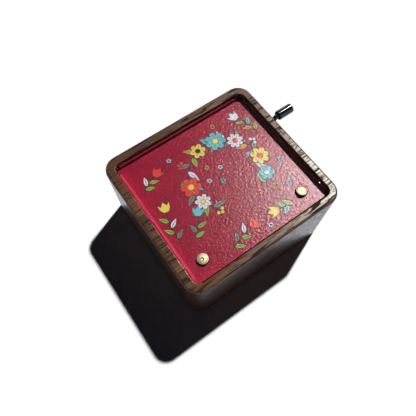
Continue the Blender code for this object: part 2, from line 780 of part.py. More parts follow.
def make_arbor_collars():
    offset = CHEEK_THICK + SIDE_PLAY + COLLAR_THICK / 2
    on_drum_axis(collar("arbor_collar_front", ARBOR_RADIUS, SCREW_STEEL), FRONT_CHEEK_Y - offset)
    on_drum_axis(collar("arbor_collar_back", ARBOR_RADIUS, SCREW_STEEL), BACK_CHEEK_Y + offset)


# Worm, crank and knob

def on_crank_axis(obj, x):
    """Lays a turned piece along the crank's axis, its own z = 0 at x."""
    obj.rotation_euler.y = math.radians(90)
    obj.location = (x, CRANK_Y, CRANK_Z)


def make_worm():
    """A threaded rod, trimmed to length by a blank with chamfered ends, and bored for the wire."""
    crest = WORM_RADIUS + TOOTH_ABOVE * MODULE
    root = WORM_RADIUS - TOOTH_BELOW * MODULE
    worm = add_object("worm", thread_mesh(root, crest), DRUM_BRASS)
    on_crank_axis(worm, DRUM_X)
    end = WORM_LENGTH / 2
    wide = crest + OVER
    shoulder = end - (wide - root)
    profile = [(0, end), (root, end), (wide, shoulder), (wide, -shoulder), (root, -end), (0, -end)]
    blank = turned("worm_blank", profile, 24)
    blank.parent = worm
    boolean(worm, blank, "INTERSECT")
    hole = rod("worm_bore", WIRE_RADIUS + SCREW_GAP / 2, -WORM_LENGTH, WORM_LENGTH, 24)
    hole.parent = worm
    boolean(worm, hole)


def thread_mesh(root, crest):
    """A single-start right-handed thread about Z, centred on a crest, longer than the worm."""
    slope = math.tan(FLANK_ANGLE) * MODULE
    half = LEAD / 4 - BACKLASH / 4
    narrow = half - TOOTH_ABOVE * slope
    wide = half + TOOTH_BELOW * slope
    turns = 2 * math.ceil(WORM_LENGTH / LEAD / 2) + 2
    bottom = -LEAD * turns / 2
    profile = [(root, LEAD / 2), (root, wide), (crest, narrow)]
    profile += [(crest, -narrow), (root, -wide), (root, -LEAD / 2)]
    points = [(r, 0.0, bottom + z) for r, z in profile]
    thread = bpy.data.meshes.new("worm_thread")
    thread.from_pydata(points, [(i, i + 1) for i in range(len(points) - 1)], [])
    guide = bpy.data.objects.new("worm_thread_guide", thread)
    bpy.context.scene.collection.objects.link(guide)
    screw = guide.modifiers.new("thread", "SCREW")
    screw.axis = "Z"
    screw.angle = math.tau
    screw.screw_offset = LEAD
    screw.iterations = turns
    screw.steps = 24
    screw.render_steps = 24
    screw.use_merge_vertices = True
    screw.merge_threshold = 0.00001
    bpy.context.view_layer.update()
    graph = bpy.context.evaluated_depsgraph_get()
    mesh = bpy.data.meshes.new_from_object(guide.evaluated_get(graph))
    bpy.data.objects.remove(guide, do_unlink=True)
    edit = bmesh.new()
    edit.from_mesh(mesh)
    bmesh.ops.remove_doubles(edit, verts=edit.verts, dist=0.00001)
    rim = [edge for edge in edit.edges if edge.is_boundary]
    bmesh.ops.holes_fill(edit, edges=rim, sides=0)
    bmesh.ops.recalc_face_normals(edit, faces=edit.faces)
    edit.to_mesh(mesh)
    edit.free()
    return mesh


def make_crank_wire():
    """One bent wire: the shaft along +X, the arm up, and the knob's pin along +X."""
    tail = DRUM_X - ARM_X - POST_X - POST_THICK - SIDE_PLAY - COLLAR_THICK - WIRE_TAIL
    pin_end = KNOB_X - ARM_X + KNOB_LENGTH - KNOB_CAP - SIDE_PLAY
    first = arc(-BEND_RADIUS, BEND_RADIUS, BEND_RADIUS, -90, 0, 6)
    second = arc(BEND_RADIUS, ARM_THROW - BEND_RADIUS, BEND_RADIUS, 180, 90, 6)
    path = [(tail, 0)] + first + second + [(pin_end, ARM_THROW)]
    curve = bpy.data.curves.new("crank_wire", "CURVE")
    curve.dimensions = "3D"
    curve.bevel_depth = WIRE_RADIUS
    curve.bevel_resolution = 4
    curve.use_fill_caps = True
    spline = curve.splines.new("POLY")
    spline.points.add(len(path) - 1)
    for point, (x, z) in zip(spline.points, path):
        point.co = (x, 0.0, z, 1.0)
    wire = add_object("crank_wire", solid_mesh("crank_wire", curve), BLACK_WIRE)
    wire.location = (ARM_X, CRANK_Y, CRANK_Z)


def make_wire_collar():
    """The ring that keeps the wire's inner end in the frame."""
    x = DRUM_X - POST_X - POST_THICK - SIDE_PLAY - COLLAR_THICK / 2
    on_crank_axis(collar("wire_collar", WIRE_RADIUS, SCREW_STEEL), x)


def make_knob():
    bore = WIRE_RADIUS + RUNNING
    depth = KNOB_LENGTH - KNOB_CAP
    tip = arc(KNOB_RADIUS - KNOB_ROUND, KNOB_LENGTH - KNOB_ROUND, KNOB_ROUND, 90, 0, 5)
    foot = arc(KNOB_RADIUS - KNOB_ROUND / 2, KNOB_ROUND / 2, KNOB_ROUND / 2, 0, -90, 3)
    profile = [(0, KNOB_LENGTH)] + tip + foot + [(bore, 0), (bore, depth), (0, depth)]
    knob = turned("crank_knob", profile, 32, BLACK_PLASTIC)
    knob.rotation_euler.y = math.radians(90)
    knob.location = (KNOB_X, CRANK_Y, CRANK_Z + ARM_THROW)


def main():
    clear_scene()
    make_case()
    make_cover()
    make_cover_screws()
    make_panel()
    make_studs()
    make_nuts()
    make_frame()
    make_comb()
    make_comb_screws()
    make_drum()
    make_drum_cap()
    make_wheel()
    make_arbor()
    make_arbor_collars()
    make_worm()
    make_crank_wire()
    make_wire_collar()
    make_knob()


main()
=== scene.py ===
import json
import math
import random

import bmesh
import bpy
from mathutils import Matrix, Vector

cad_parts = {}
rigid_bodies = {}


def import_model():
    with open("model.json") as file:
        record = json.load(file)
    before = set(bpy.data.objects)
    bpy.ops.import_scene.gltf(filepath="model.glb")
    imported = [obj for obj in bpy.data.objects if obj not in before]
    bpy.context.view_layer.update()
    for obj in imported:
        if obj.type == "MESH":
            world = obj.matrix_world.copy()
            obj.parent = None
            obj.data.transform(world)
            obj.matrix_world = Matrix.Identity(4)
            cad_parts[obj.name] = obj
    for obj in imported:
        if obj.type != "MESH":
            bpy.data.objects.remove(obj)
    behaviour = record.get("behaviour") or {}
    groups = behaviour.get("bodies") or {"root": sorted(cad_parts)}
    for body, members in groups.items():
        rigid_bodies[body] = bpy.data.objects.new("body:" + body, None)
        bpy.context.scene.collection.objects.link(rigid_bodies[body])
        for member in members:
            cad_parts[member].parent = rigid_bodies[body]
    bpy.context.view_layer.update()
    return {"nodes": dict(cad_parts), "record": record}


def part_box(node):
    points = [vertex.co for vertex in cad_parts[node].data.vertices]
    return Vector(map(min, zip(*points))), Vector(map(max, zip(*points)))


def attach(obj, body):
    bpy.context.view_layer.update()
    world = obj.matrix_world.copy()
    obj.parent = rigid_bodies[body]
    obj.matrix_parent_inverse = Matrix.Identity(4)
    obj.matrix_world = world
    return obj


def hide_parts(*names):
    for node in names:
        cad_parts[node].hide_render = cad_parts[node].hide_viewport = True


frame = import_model()

MM = 0.001


# Node helpers
def srgb(red, green, blue):
    """A colour written as 0 to 255, as linear light with full alpha."""
    def linear(value):
        value /= 255
        return value / 12.92 if value <= 0.04045 else ((value + 0.055) / 1.055) ** 2.4
    return (linear(red), linear(green), linear(blue), 1.0)


def link_or_set(tree, socket, value):
    if isinstance(value, bpy.types.NodeSocket):
        tree.links.new(value, socket)
    else:
        socket.default_value = value


def shade(tree, kind, inputs=None, **settings):
    """A shader node, with its inputs linked or set."""
    made = tree.nodes.new("ShaderNode" + kind)
    for key, value in settings.items():
        setattr(made, key, value)
    for key, value in (inputs or {}).items():
        link_or_set(tree, made.inputs[key], value)
    return made


def start_material(name, **principled):
    """A new material with its Principled inputs set; returns material, tree, shader."""
    material = bpy.data.materials.new(name)
    material.use_nodes = True
    tree = material.node_tree
    shader = tree.nodes["Principled BSDF"]
    for key, value in principled.items():
        shader.inputs[key.replace("_", " ")].default_value = value
    return material, tree, shader


def own_place(tree):
    """The object's own coordinates, in metres."""
    return shade(tree, "TexCoord").outputs["Object"]


def scaled_place(tree, scale):
    """The object's own coordinates in metres, multiplied by scale for each axis."""
    return shade(tree, "Mapping", {"Vector": own_place(tree), "Scale": scale}).outputs["Vector"]


def part_of(tree, vector, axis):
    return shade(tree, "SeparateXYZ", {0: vector}).outputs[axis]


def facing_up(tree):
    """1 on a level face, 0 on an upright one."""
    return part_of(tree, shade(tree, "NewGeometry").outputs["Normal"], 2)


def noise(tree, scale, detail=3.0, roughness=0.5, distortion=0.0):
    """Noise from 0 to 1, with scale lumps to the metre along each axis."""
    inputs = {"Vector": scaled_place(tree, scale), "Scale": 1.0, "Detail": detail}
    inputs.update({"Roughness": roughness, "Distortion": distortion})
    return shade(tree, "TexNoise", inputs).outputs["Fac"]


def spread(tree, value, low, high, to_low=0.0, to_high=1.0):
    """The value's range low to high, stretched to another range and clamped."""
    inputs = {0: value, 1: low, 2: high, 3: to_low, 4: to_high}
    return shade(tree, "MapRange", inputs, clamp=True).outputs[0]


def sums(tree, operation, first, second=0.0, third=None):
    inputs = {0: first, 1: second}
    if third is not None:
        inputs[2] = third
    return shade(tree, "Math", inputs, operation=operation).outputs[0]


def vectors(tree, operation, first, second=None):
    inputs = {0: first}
    if second is not None:
        inputs[1] = second
    return shade(tree, "VectorMath", inputs, operation=operation).outputs[0]


def blend_colours(tree, factor, first, second, mode="MIX"):
    made = shade(tree, "Mix", data_type="RGBA", blend_type=mode)
    for place, value in ((0, factor), (6, first), (7, second)):
        link_or_set(tree, made.inputs[place], value)
    return made.outputs[2]


def ramp(tree, value, stops):
    made = shade(tree, "ValToRGB", {"Fac": value})
    elements = made.color_ramp.elements
    while len(elements) < len(stops):
        elements.new(0.5)
    for element, (position, colour) in zip(elements, stops):
        element.position = position
        element.color = colour
    return made.outputs["Color"]


def bump(tree, height, depth, under=None):
    """A normal from a height of 0 to 1 and its depth in metres, over another normal if given."""
    inputs = {"Height": height, "Distance": depth, "Strength": 1.0}
    if under is not None:
        inputs["Normal"] = under
    return shade(tree, "Bump", inputs).outputs["Normal"]


def finish_with(tree, shader, **sockets):
    for key, value in sockets.items():
        tree.links.new(value, shader.inputs[key.replace("_", " ")])


# Wood
RING_SPACING = 0.0021
RING_DRIFT = 0.0035  # how far the rings wander
FROM_HEART = (0, -0.021, 0.055)  # the case's origin, seen from the trunk's heart
WALNUT_TONES = [
    (0.32, (0.03, 0.01, 0.0045, 1)),
    (0.52, (0.072, 0.027, 0.012, 1)),
    (0.7, (0.12, 0.047, 0.021, 1)),
    (0.92, (0.2, 0.09, 0.043, 1)),
]
PORE_COLOUR = (0.009, 0.004, 0.002, 1)
SIDE_PORES = 0.22  # share of the coarse pores that upright faces show
SIDE_POLISH = 0.65  # upright faces are smoother than the rims by this factor

PLY_TONES = [
    (0.3, (0.11, 0.056, 0.03, 1)),
    (0.55, (0.22, 0.125, 0.068, 1)),
    (0.8, (0.33, 0.2, 0.115, 1)),
]
PLY_THICK = 0.0017


def make_walnut():
    """Walnut, grain along X: growth bands round a heart far below, fibres, dark open pores."""
    material, tree, shader = start_material(
        "walnut_lacquered", Specular_IOR_Level=0.3, Specular_Tint=(0.98, 1.0, 0.9, 1)
    )
    drift = shade(tree, "TexNoise", {
        "Vector": scaled_place(tree, (14, 70, 70)), "Scale": 1.0, "Detail": 3.0,
    })
    centred = vectors(tree, "SUBTRACT", drift.outputs["Color"], (0.5, 0.5, 0.5))
    pushed = shade(tree, "VectorMath", {0: centred, "Scale": RING_DRIFT}, operation="SCALE")
    bent = vectors(tree, "ADD", own_place(tree), pushed.outputs[0])
    from_heart = vectors(tree, "ADD", bent, FROM_HEART)
    across_grain = vectors(tree, "MULTIPLY", from_heart, (0, 1, 1))
    reach = shade(tree, "VectorMath", {0: across_grain}, operation="LENGTH").outputs["Value"]
    band = sums(tree, "FRACT", sums(tree, "MULTIPLY", reach, 1 / RING_SPACING))
    fibre = noise(tree, (60, 1700, 1700), detail=4.0, roughness=0.65)
    cloud = noise(tree, (25, 120, 120), roughness=0.55)
    tone = sums(tree, "MULTIPLY_ADD", band, 0.2, sums(tree, "MULTIPLY", cloud, 0.34))
    tone = sums(tree, "MULTIPLY_ADD", fibre, 0.6, sums(tree, "ADD", tone, 0.075))
    colour = ramp(tree, tone, WALNUT_TONES)

    level = facing_up(tree)
    fine = spread(tree, noise(tree, (420, 2900, 2900), 1.5, 0.45), 0.56, 0.62)
    coarse = spread(tree, noise(tree, (120, 1350, 1350), 0.0, 0.4), 0.58, 0.605)
    clusters = spread(tree, noise(tree, (60, 240, 240), 2.0), 0.34, 0.48)
    coarse = sums(tree, "MULTIPLY", coarse, clusters)
    coarse = sums(tree, "MULTIPLY", coarse, spread(tree, level, 0.2, 0.8, SIDE_PORES, 1.0))
    pores = sums(tree, "MAXIMUM", sums(tree, "MULTIPLY", fine, 0.7), coarse)
    colour = blend_colours(tree, sums(tree, "MULTIPLY", pores, 0.85), colour, PORE_COLOUR)

    height = sums(tree, "MULTIPLY_ADD", pores, -1.0, sums(tree, "MULTIPLY", fibre, 0.5))
    lacquer = spread(tree, fibre, 0.3, 0.7, 0.25, 0.36)
    lacquer = sums(tree, "MULTIPLY", lacquer, spread(tree, level, 0.2, 0.8, SIDE_POLISH, 1.0))
    rough = sums(tree, "MAXIMUM", lacquer, sums(tree, "MULTIPLY", pores, 0.95))
    finish_with(tree, shader, Base_Color=colour, Roughness=rough,
                Normal=bump(tree, height, 0.000018))
    return material


def make_plywood():
    """Bare plywood: a flamed face, and darker lines between the plies on its edges."""
    material, tree, shader = start_material("cover_plywood_face", Roughness=0.6)
    fibre = noise(tree, (60, 1100, 900), detail=5.0, roughness=0.6)
    flame = noise(tree, (16, 120, 60), roughness=0.55, distortion=0.8)
    tone = sums(tree, "MULTIPLY_ADD", fibre, 0.5, sums(tree, "MULTIPLY", flame, 0.5))
    plies = part_of(tree, scaled_place(tree, (1, 1, 1 / PLY_THICK)), 2)
    dark = spread(tree, sums(tree, "PINGPONG", plies, 0.5), 0.2, 0.3, 1.0, 0.7)
    colour = blend_colours(tree, 1.0, ramp(tree, tone, PLY_TONES), dark, "MULTIPLY")
    finish_with(tree, shader, Base_Color=colour, Normal=bump(tree, fibre, 0.00004))
    return material


# Metals
def make_metal(name, colour, darker, roughness, grain, depth):
    """Worked metal: drifting colour, fine tool marks, and roughness that follows both."""
    material, tree, shader = start_material(name, Metallic=1.0)
    marks = noise(tree, grain, detail=4.0, roughness=0.65)
    cloud = noise(tree, (350, 350, 350), roughness=0.55)
    mixed = blend_colours(tree, spread(tree, cloud, 0.35, 0.7), (*darker, 1), (*colour, 1))
    wear = sums(tree, "MULTIPLY_ADD", marks, 0.6, sums(tree, "MULTIPLY", cloud, 0.4))
    rough = spread(tree, wear, 0.3, 0.7, roughness * 0.75, roughness * 1.35)
    finish_with(tree, shader, Base_Color=mixed, Roughness=rough, Normal=bump(tree, marks, depth))
    return material


BRASS_DARK = (0.34, 0.29, 0.165, 1)
BRASS_PALE = (0.42, 0.375, 0.225, 1)
TOOL_MARKS = 14000.0  # rings to the metre, from the stud's axis outwards
GROOVE_RADIUS = 0.00155
DIMPLE_RADIUS = 0.0005


def make_turned_brass():
    """Pale turned brass: rings of tool marks about the stud's own axis and a light tarnish, with
    painted shade in a dark ring and on the much darker upright sides.
    """
    material, tree, shader = start_material("turned_brass", Metallic=1.0)
    from_axis = part_of(tree, shade(tree, "TexCoord").outputs["UV"], 0)
    along = shade(tree, "CombineXYZ", {0: sums(tree, "MULTIPLY", from_axis, TOOL_MARKS)})
    rings = shade(tree, "TexNoise", {
        "Vector": along.outputs[0], "Scale": 1.0, "Detail": 3.0, "Roughness": 0.6,
    })
    cloud = noise(tree, (600, 600, 600), roughness=0.55)
    colour = blend_colours(tree, spread(tree, cloud, 0.35, 0.7), BRASS_DARK, BRASS_PALE)
    # Painted shade: a darker ring where a turned cut would hold shade, and the upright sides much
    # darker for the shadow that they stand in
    off_groove = sums(tree, "ABSOLUTE", sums(tree, "SUBTRACT", from_axis, GROOVE_RADIUS))
    groove_painted_shade = spread(tree, off_groove, 0.0001, 0.00022, 0.5, 1.0)
    sides = spread(tree, facing_up(tree), 0.25, 0.6, 0.12, 1.0)
    colour = blend_colours(tree, 1.0, colour, sums(tree, "MULTIPLY", groove_painted_shade, sides), "MULTIPLY")
    face = spread(tree, from_axis, DIMPLE_RADIUS, DIMPLE_RADIUS + 0.0002, 0.25, 0.55)
    rough = sums(tree, "MULTIPLY", face, spread(tree, cloud, 0.3, 0.7, 0.93, 1.06))
    finish_with(tree, shader, Base_Color=colour, Roughness=rough,
                Normal=bump(tree, rings.outputs["Fac"], 0.000006))
    return material


# Plastics
def make_black_plastic():
    """Glossy black moulding with faint scuffs."""
    material, tree, shader = start_material("black_plastic_gloss", IOR=1.5)
    cloud = noise(tree, (500, 500, 500), detail=4.0, roughness=0.6)
    scuff = noise(tree, (300, 4000, 4000), detail=2.0)
    stops = [(0.3, (0.004, 0.004, 0.0045, 1)), (0.75, (0.011, 0.011, 0.012, 1))]
    finish_with(tree, shader, Base_Color=ramp(tree, cloud, stops),
                Roughness=spread(tree, scuff, 0.45, 0.75, 0.1, 0.16),
                Normal=bump(tree, scuff, 0.0000005))
    return material


WITHIN_SIDES = 0.999  # a place this far from the sheet's middle, out of 1, isn't on its outer sides
# Painted shade: the dark colour of the studs' well walls seen from inside the sheet, for the shadow
# round the stud heads
WELL_PAINTED_SHADE = (0.012, 0.008, 0.009, 1)


def inside_sheet(tree):
    """1 away from the sheet's outer sides, 0 on them."""
    low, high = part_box("acrylic_sheet")
    centred = vectors(tree, "SUBTRACT", own_place(tree), (low + high) / 2)
    share = vectors(tree, "ABSOLUTE", vectors(tree, "DIVIDE", centred, (high - low) / 2))
    outermost = sums(tree, "MAXIMUM", part_of(tree, share, 0), part_of(tree, share, 1))
    return sums(tree, "LESS_THAN", outermost, WITHIN_SIDES)


def make_acrylic():
    """Clear acrylic, glass to eyes and mirrors. Lamps shine straight through all but its outer
    sides.
    The studs' wells are clear from the air side; seen through the sheet, their walls are painted
    shade, a dark diffuse."""
    material, tree, shader = start_material(
        "acrylic_clear", Roughness=0.0, IOR=1.49, Transmission_Weight=1.0
    )
    haze = noise(tree, (260, 260, 260), roughness=0.6)
    tint = ramp(tree, haze, [(0.3, (0.965, 0.965, 0.97, 1)), (0.7, (1.0, 1.0, 1.0, 1))])
    ripple = noise(tree, (90, 90, 90), detail=2.0, roughness=0.4)
    finish_with(tree, shader, Base_Color=tint, Normal=bump(tree, ripple, 0.000004))

    path = shade(tree, "LightPath")
    light = sums(tree, "MAXIMUM", path.outputs["Is Shadow Ray"], path.outputs["Is Diffuse Ray"])
    inside = inside_sheet(tree)
    geometry = shade(tree, "NewGeometry")
    lean = sums(tree, "ABSOLUTE", part_of(tree, geometry.outputs["True Normal"], 2))
    well = sums(tree, "MULTIPLY", inside, sums(tree, "LESS_THAN", lean, 0.5))
    behind = geometry.outputs["Backfacing"]
    # Painted shade: seen through the sheet, the wells' walls are a dark diffuse
    wall = shade(tree, "BsdfDiffuse", {"Color": WELL_PAINTED_SHADE}).outputs[0]
    body = shade(tree, "MixShader", {
        0: sums(tree, "MULTIPLY", well, behind), 1: shader.outputs[0], 2: wall,
    })
    air_side = sums(tree, "MULTIPLY", well, sums(tree, "SUBTRACT", 1.0, behind))
    through = sums(tree, "MAXIMUM", sums(tree, "MULTIPLY", light, inside), air_side)
    clear = shade(tree, "BsdfTransparent", {"Color": (0.97, 0.97, 0.97, 1)})
    mixed = shade(tree, "MixShader", {0: through, 1: body.outputs[0], 2: clear.outputs[0]})
    tree.links.new(mixed.outputs[0], tree.nodes["Material Output"].inputs["Surface"])
    return material


# Printed inks, and one paler crimson of painted light
INKS = {
    "crimson": srgb(146, 10, 43),
    # painted light, for the light that the sheet's sides throw on the card beside them
    "painted_light_crimson": srgb(178, 34, 66),
    "outline": srgb(52, 40, 52),
    "teal": srgb(96, 176, 182),
    "yellow": srgb(226, 198, 84),
    "white": srgb(220, 214, 222),
    "grey": srgb(126, 114, 106),
    "orange": srgb(220, 64, 50),
    "ochre": srgb(206, 150, 58),
    "green": srgb(146, 168, 66),
}
# The card's sun comes from the direction that the sheet bends it to, but its glare belongs where
# an unbent sun's would be. The varnish's normal leans by about half the difference.
VARNISH_LEAN = (-0.0599, -0.0239, 0.9979)


def make_ink(name, colour):
    """Ink under an uneven satin varnish."""
    material, tree, shader = start_material(
        "ink_" + name, Roughness=0.235, Specular_IOR_Level=0.24
    )
    stipple = noise(tree, (3000, 3000, 3000), detail=2.0, roughness=0.6)
    cloud = noise(tree, (120, 120, 120))
    darker = tuple(value * 0.8 for value in colour[:3]) + (1,)
    lighter = tuple(min(1.0, value * 1.12 + 0.004) for value in colour[:3]) + (1,)
    tone = sums(tree, "MULTIPLY_ADD", stipple, 0.55, sums(tree, "MULTIPLY", cloud, 0.45))
    mixed = blend_colours(tree, spread(tree, tone, 0.32, 0.68), darker, lighter)
    lean = shade(tree, "CombineXYZ", dict(enumerate(VARNISH_LEAN))).outputs[0]
    peel = bump(tree, noise(tree, (1000, 1000, 1000), roughness=0.65), 0.00012, lean)
    finish_with(tree, shader, Base_Color=mixed, Normal=bump(tree, stipple, 0.000001, peel))
    return material


# Materials for every slot of the record
METALS = {
    # slot: name, colour, darker colour, roughness, tool marks to the metre, their depth
    "screw_steel": ("bright_screw_steel", (0.6, 0.61, 0.63), (0.42, 0.43, 0.46),
                    0.3, (900, 900, 6000), 0.00001),
    "drum_brass": ("satin_drum_brass", (0.78, 0.6, 0.32), (0.6, 0.44, 0.2),
                   0.32, (2500, 400, 2500), 0.00001),
    "cast_zinc": ("cast_zinc_rough", (0.52, 0.53, 0.55), (0.36, 0.37, 0.39),
                  0.5, (1800, 1800, 1800), 0.00003),
    "spring_steel": ("ground_spring_steel", (0.58, 0.6, 0.62), (0.44, 0.45, 0.48),
                     0.28, (300, 7000, 300), 0.00001),
    "blackened_wire": ("blackened_wire_nickel", (0.085, 0.087, 0.095), (0.04, 0.041, 0.046),
                       0.22, (900, 900, 900), 0.00001),
}
FINISH = {
    "walnut": make_walnut(),
    "cover_plywood": make_plywood(),
    "printed_card": make_ink("crimson", INKS["crimson"]),
    "clear_acrylic": make_acrylic(),
    "polished_brass": make_turned_brass(),
    "black_plastic": make_black_plastic(),
    **{slot: make_metal(*look) for slot, look in METALS.items()},
}
SLOT_OF = {piece["node"]: piece["material_slot"] for piece in frame["record"]["subparts"]}
BODY_OF = {
    node: body
    for body, nodes in frame["record"]["behaviour"]["bodies"].items()
    for node in nodes
}


# The CAD pieces: curved ones shaded smooth, flat ones as they are
MERGE_DISTANCE = 0.000001
FLAT_WITHIN = math.radians(0.2)
SHARP_FROM = math.radians(32)


def add_piece(name, mesh, body, material):
    made = bpy.data.objects.new(name, mesh)
    bpy.context.scene.collection.objects.link(made)
    mesh.materials.clear()
    mesh.materials.append(material)
    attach(made, body)
    return made


def smoothed(node, name):
    """The node's shape with its curved faces shaded smooth, standing for the node."""
    mesh = frame["nodes"][node].data.copy()
    mesh.name = name
    edit = bmesh.new()
    edit.from_mesh(mesh)
    bmesh.ops.remove_doubles(edit, verts=edit.verts, dist=MERGE_DISTANCE)
    bmesh.ops.dissolve_limit(edit, angle_limit=FLAT_WITHIN, verts=edit.verts, edges=edit.edges)
    for face in edit.faces:
        face.smooth = True
    for edge in edit.edges:
        edge.smooth = not edge.is_manifold or edge.calc_face_angle() < SHARP_FROM
    edit.to_mesh(mesh)
    edit.free()
    made = add_piece(name, mesh, BODY_OF[node], FINISH[SLOT_OF[node]])
    weigh = made.modifiers.new("even_flats", "WEIGHTED_NORMAL")
    weigh.keep_sharp = True
    weigh.weight = 80
    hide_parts(node)


SMOOTHED = {
    "walnut_case": "case_walnut_block",
    "acrylic_sheet": "glazing_sheet",
    "brass_stud_left": "stud_head_left",
    "brass_stud_right": "stud_head_right",
    "movement_frame": "cast_frame",
    "comb_screw_front": "comb_screw_front_turned",
    "comb_screw_back": "comb_screw_back_turned",
    "pinned_drum": "drum_shell_pinned",
    "drum_cap": "drum_cap_turned",
    "worm_wheel": "wheel_cut",
    "drum_arbor": "arbor_turned",
    "arbor_collar_front": "collar_front_turned",
    "arbor_collar_back": "collar_back_turned",
    "worm": "worm_cut",
    "crank_wire": "wire_bent",
    "wire_collar": "wire_collar_turned",
    "crank_knob": "knob_moulded",
}
for node, slot in SLOT_OF.items():
    if node in SMOOTHED:
        smoothed(node, SMOOTHED[node])
    else:
        target = frame["nodes"][node].data.materials
        target.clear()
        target.append(FINISH[slot])


def store_turning(side):
    """Each point's distance from the stud's axis, for the rings of tool marks."""
    low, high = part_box("brass_stud_" + side)
    middle = (low + high) / 2
    mesh = bpy.data.objects["stud_head_" + side].data
    layer = mesh.uv_layers.new(name="turning")
    for loop in mesh.loops:
        point = mesh.vertices[loop.vertex_index].co
        reach = math.hypot(point.x - middle.x, point.y - middle.y)
        layer.data[loop.index].uv = (reach, point.z)


store_turning("left")
store_turning("right")


# The print: flat shapes of ink on the card. All its sizes are in millimetres, and places are
# from the box's centre. Levels are layers of ink, each above the last.
CARD_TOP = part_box("printed_card")[1].z
STUD_X, STUD_Y, _ = sum(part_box("brass_stud_right"), Vector()) / 2 / MM
LAYER = 0.03 * MM
BELOW_PRINT = -0.5

PEN = 0.22
FINE_PEN = 0.16
PETAL_PEN = 0.2
RIB_PEN = 0.24
BERRY_STALK = 0.3
STALK = 0.45
WREATH_STEM = 0.55

shapes = {}


def ink(name, outline, level):
    """An outline to be filled with one ink."""
    shapes.setdefault(name, []).append((outline, level))


def ring(x, y, radius, count, wobble=0.0, phase=0.0):
    """A circle, or with a wobble a rounded blot."""
    points = []
    for i in range(count):
        angle = math.tau * i / count
        reach = radius * (1 + wobble * math.sin(3 * angle + phase))
        points.append((x + reach * math.cos(angle), y + reach * math.sin(angle)))
    return points


def grown(outline, by):
    """The outline moved outwards."""
    count = len(outline)
    moved = []
    for i in range(count):
        before, here, after = (Vector(outline[k % count]) for k in (i - 1, i, i + 1))
        first, second = (here - before).normalized(), (after - here).normalized()
        normal = Vector((first.y + second.y, -first.x - second.x))
        if normal.length < 0.0001:
            normal = Vector((first.y, -first.x))
        normal.normalize()
        lean = max(0.5, normal.dot(Vector((first.y, -first.x))))
        moved.append(tuple(here + normal * by / lean))
    return moved


def drawn(name, outline, level, line=PEN):
    """A shape of colour with a dark pen line round it."""
    ink("outline", grown(outline, line), level - 1)
    ink(name, outline, level)


def stroke(name, points, width, level=0):
    """A pen line through the points, with thinner ends."""
    last = len(points) - 1
    left, right = [], []
    for i, point in enumerate(points):
        before, after = Vector(points[max(0, i - 1)]), Vector(points[min(last, i + 1)])
        heading = (after - before).normalized()
        side = Vector((-heading.y, heading.x))
        half = width / 2 * (0.45 + 0.55 * math.sin(math.pi * (i / last * 0.9 + 0.08)))
        left.append(tuple(Vector(point) + side * half))
        right.append(tuple(Vector(point) - side * half))
    ink(name, right + left[::-1], level)


def curve(start, bend, end, count=14):
    """Points from start to end, drawn towards bend."""
    points = []
    for i in range(count):
        t = i / (count - 1)
        points.append(tuple(
            (1 - t) ** 2 * a + 2 * t * (1 - t) * b + t * t * c
            for a, b, c in zip(start, bend, end)
        ))
    return points


def leaf(name, x, y, length, width, angle, level=1):
    """A pointed leaf from its stalk at x, y, with a midrib."""
    heading = Vector((math.cos(angle), math.sin(angle)))
    side = Vector((-heading.y, heading.x))
    base = Vector((x, y))
    steps = 8
    upper, lower = [], []
    for i in range(steps + 1):
        t = i / steps
        swell = width / 2 * math.sin(math.pi * t ** 0.8) * (1 - 0.25 * t)
        upper.append(tuple(base + heading * length * t + side * swell))
        if 0 < i < steps:
            lower.append(tuple(base + heading * length * t - side * swell))
    drawn(name, lower + upper[::-1], level)
    rib = [tuple(base + heading * length * t) for t in (0.12, 0.4, 0.78)]
    stroke("outline", rib, RIB_PEN, level + 1)


def flower(name, heart, x, y, radius, petals, turn, level):
    """A round of petals about a heart, with a pen line down each petal."""
    outline = []
    steps = 6
    for petal in range(petals):
        for i in range(steps):
            angle = turn + math.tau * (petal + i / steps) / petals
            reach = radius * (0.62 + 0.38 * math.sin(math.pi * i / steps) ** 0.6)
            outline.append((x + reach * math.cos(angle), y + reach * math.sin(angle)))
    drawn(name, outline, level)
    for petal in range(petals):
        angle = turn + math.tau * (petal + 0.5) / petals
        line = [
            (x + r * radius * math.cos(angle), y + r * radius * math.sin(angle))
            for r in (0.42, 0.6, 0.76)
        ]
        stroke("outline", line, PETAL_PEN, level + 1)
    drawn(heart, ring(x, y, radius * 0.3, 14, 0.04, turn), level + 1, FINE_PEN)


TULIP = (
    (-0.5, 0.35), (-0.42, -0.1), (-0.2, -0.42), (0.2, -0.42), (0.42, -0.1), (0.5, 0.35),
    (0.26, 0.12), (0.0, 0.5), (-0.26, 0.12),
)


def tulip(name, x, y, size, angle, level):
    """A cup of three points on its stalk's end."""
    c, s = math.cos(angle - math.pi / 2), math.sin(angle - math.pi / 2)
    cup = [(x + size * (u * c - v * s), y + size * (u * s + v * c)) for u, v in TULIP]
    drawn(name, cup, level)


def berries(name, x, y, angle, level=2):
    """Three berries on short stalks."""
    for step, reach in ((-0.55, 2.1), (0.0, 2.7), (0.55, 2.1)):
        tip = (x + reach * math.cos(angle + step), y + reach * math.sin(angle + step))
        stalk = curve((x, y), ((x + tip[0]) / 2, (y + tip[1]) / 2), tip, 4)
        stroke("outline", stalk, BERRY_STALK, level - 2)
        drawn(name, ring(*tip, 0.62, 12), level, FINE_PEN)


